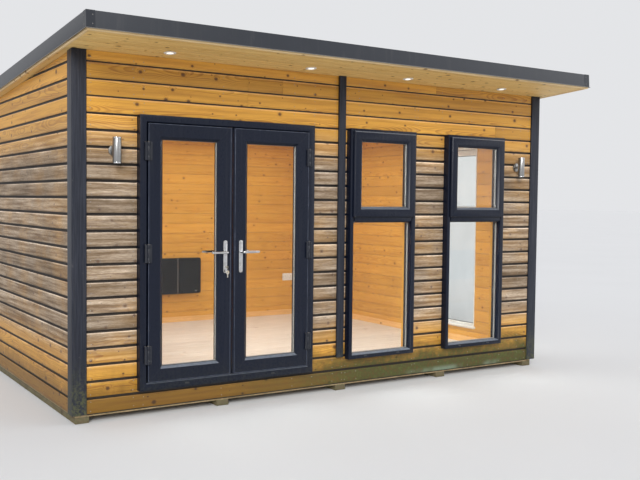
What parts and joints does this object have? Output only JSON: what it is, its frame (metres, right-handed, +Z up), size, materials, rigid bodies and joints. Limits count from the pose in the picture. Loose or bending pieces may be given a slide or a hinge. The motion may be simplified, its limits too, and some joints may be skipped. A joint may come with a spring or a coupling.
{
  "type": "garden office pod",
  "caption": "Timber garden office pod with horizontal cladding, glazed double doors, tall windows and a mono-pitch roof with an overhanging lit soffit.",
  "frame": {"origin": "on the ground under the middle of the pod's body, at the underside of the middle bearer", "axes": "+Z up, -Y towards the front with the doors, +X to the right seen from the front"},
  "size_m": [4.4734, 4.2064, 2.6293],
  "materials": {
    "treated_timber": "rough sawn, pressure treated",
    "sheathing": "sawn framing and board",
    "cladding": "oiled softwood boards, weathered, algae at the foot",
    "lining": "clear lacquered pine boards",
    "floor": "pale matt boards",
    "anthracite_paint": "satin anthracite paint on timber",
    "anthracite_frame": "foiled anthracite plastic profile",
    "clear_glass": "clear sealed unit",
    "hinge_metal": "satin coated steel",
    "polished_steel": "polished",
    "brushed_lamp": "brushed stainless steel",
    "roof_rubber": "matt roofing sheet",
    "fascia_timber": "planed softwood",
    "trim_metal": "anthracite coated sheet",
    "soffit_pine": "knotty pine boards",
    "downlight": "white bezel with a frosted lens",
    "heater_black": "dark glass front on a black case",
    "socket_white": "white moulded plate"
  },
  "bodies": {
    "root": {"bearers": "treated_timber", "floor_joists": "treated_timber", "floor_deck": "sheathing", "floor_boards": "floor", "front_rails": "sheathing", "front_piers": "sheathing", "back_wall": "sheathing", "left_wall": "sheathing", "right_wall_piers": "sheathing", "right_wall_rails": "sheathing", "front_cladding": "cladding", "back_cladding": "cladding", "end_cladding": "cladding", "front_lining": "lining", "back_lining": "lining", "end_linings": "lining", "corner_posts": "anthracite_paint", "cover_strip": "anthracite_paint", "door_frame": "anthracite_frame", "frame_hinges": "hinge_metal", "front_window_frames": "anthracite_frame", "side_window_frame": "anthracite_frame", "front_window_sashes": "anthracite_frame", "side_window_sash": "anthracite_frame", "window_glass": "clear_glass", "roof_deck": "sheathing", "roof_cover": "roof_rubber", "fascia": "fascia_timber", "roof_trim": "trim_metal", "soffit": "soffit_pine", "ceiling": "soffit_pine", "downlights": "downlight", "wall_lamps": "brushed_lamp", "panel_heater": "heater_black", "double_socket": "socket_white"},
    "left_door": {"left_leaf": "anthracite_frame", "left_door_glass": "clear_glass", "left_hinges": "hinge_metal", "left_handle_set": "polished_steel"},
    "right_door": {"right_leaf": "anthracite_frame", "right_door_glass": "clear_glass", "right_hinges": "hinge_metal", "right_handle_set": "polished_steel"},
    "left_lever": {"left_lever": "polished_steel"},
    "right_lever": {"right_lever": "polished_steel"}
  },
  "joints": [
    {"name": "left_door_swing", "type": "hinge", "parent": "root", "child": "left_door", "pos_m": [-1.654, -1.865, 1.132], "axis": [0, 0, -1], "range_deg": [0, 100]},
    {"name": "right_door_swing", "type": "hinge", "parent": "root", "child": "right_door", "pos_m": [-0.363, -1.865, 1.132], "axis": [0, 0, 1], "range_deg": [0, 100]},
    {"name": "left_lever_turn", "type": "hinge", "parent": "left_door", "child": "left_lever", "pos_m": [-1.071, -1.826, 1.13], "axis": [0, -1, 0], "range_deg": [0, 35], "stiffness_Nm_per_rad": 1.2, "springref_deg": -45.84},
    {"name": "right_lever_turn", "type": "hinge", "parent": "right_door", "child": "right_lever", "pos_m": [-0.946, -1.826, 1.13], "axis": [0, 1, 0], "range_deg": [0, 35], "stiffness_Nm_per_rad": 1.2, "springref_deg": -45.84}
  ]
}
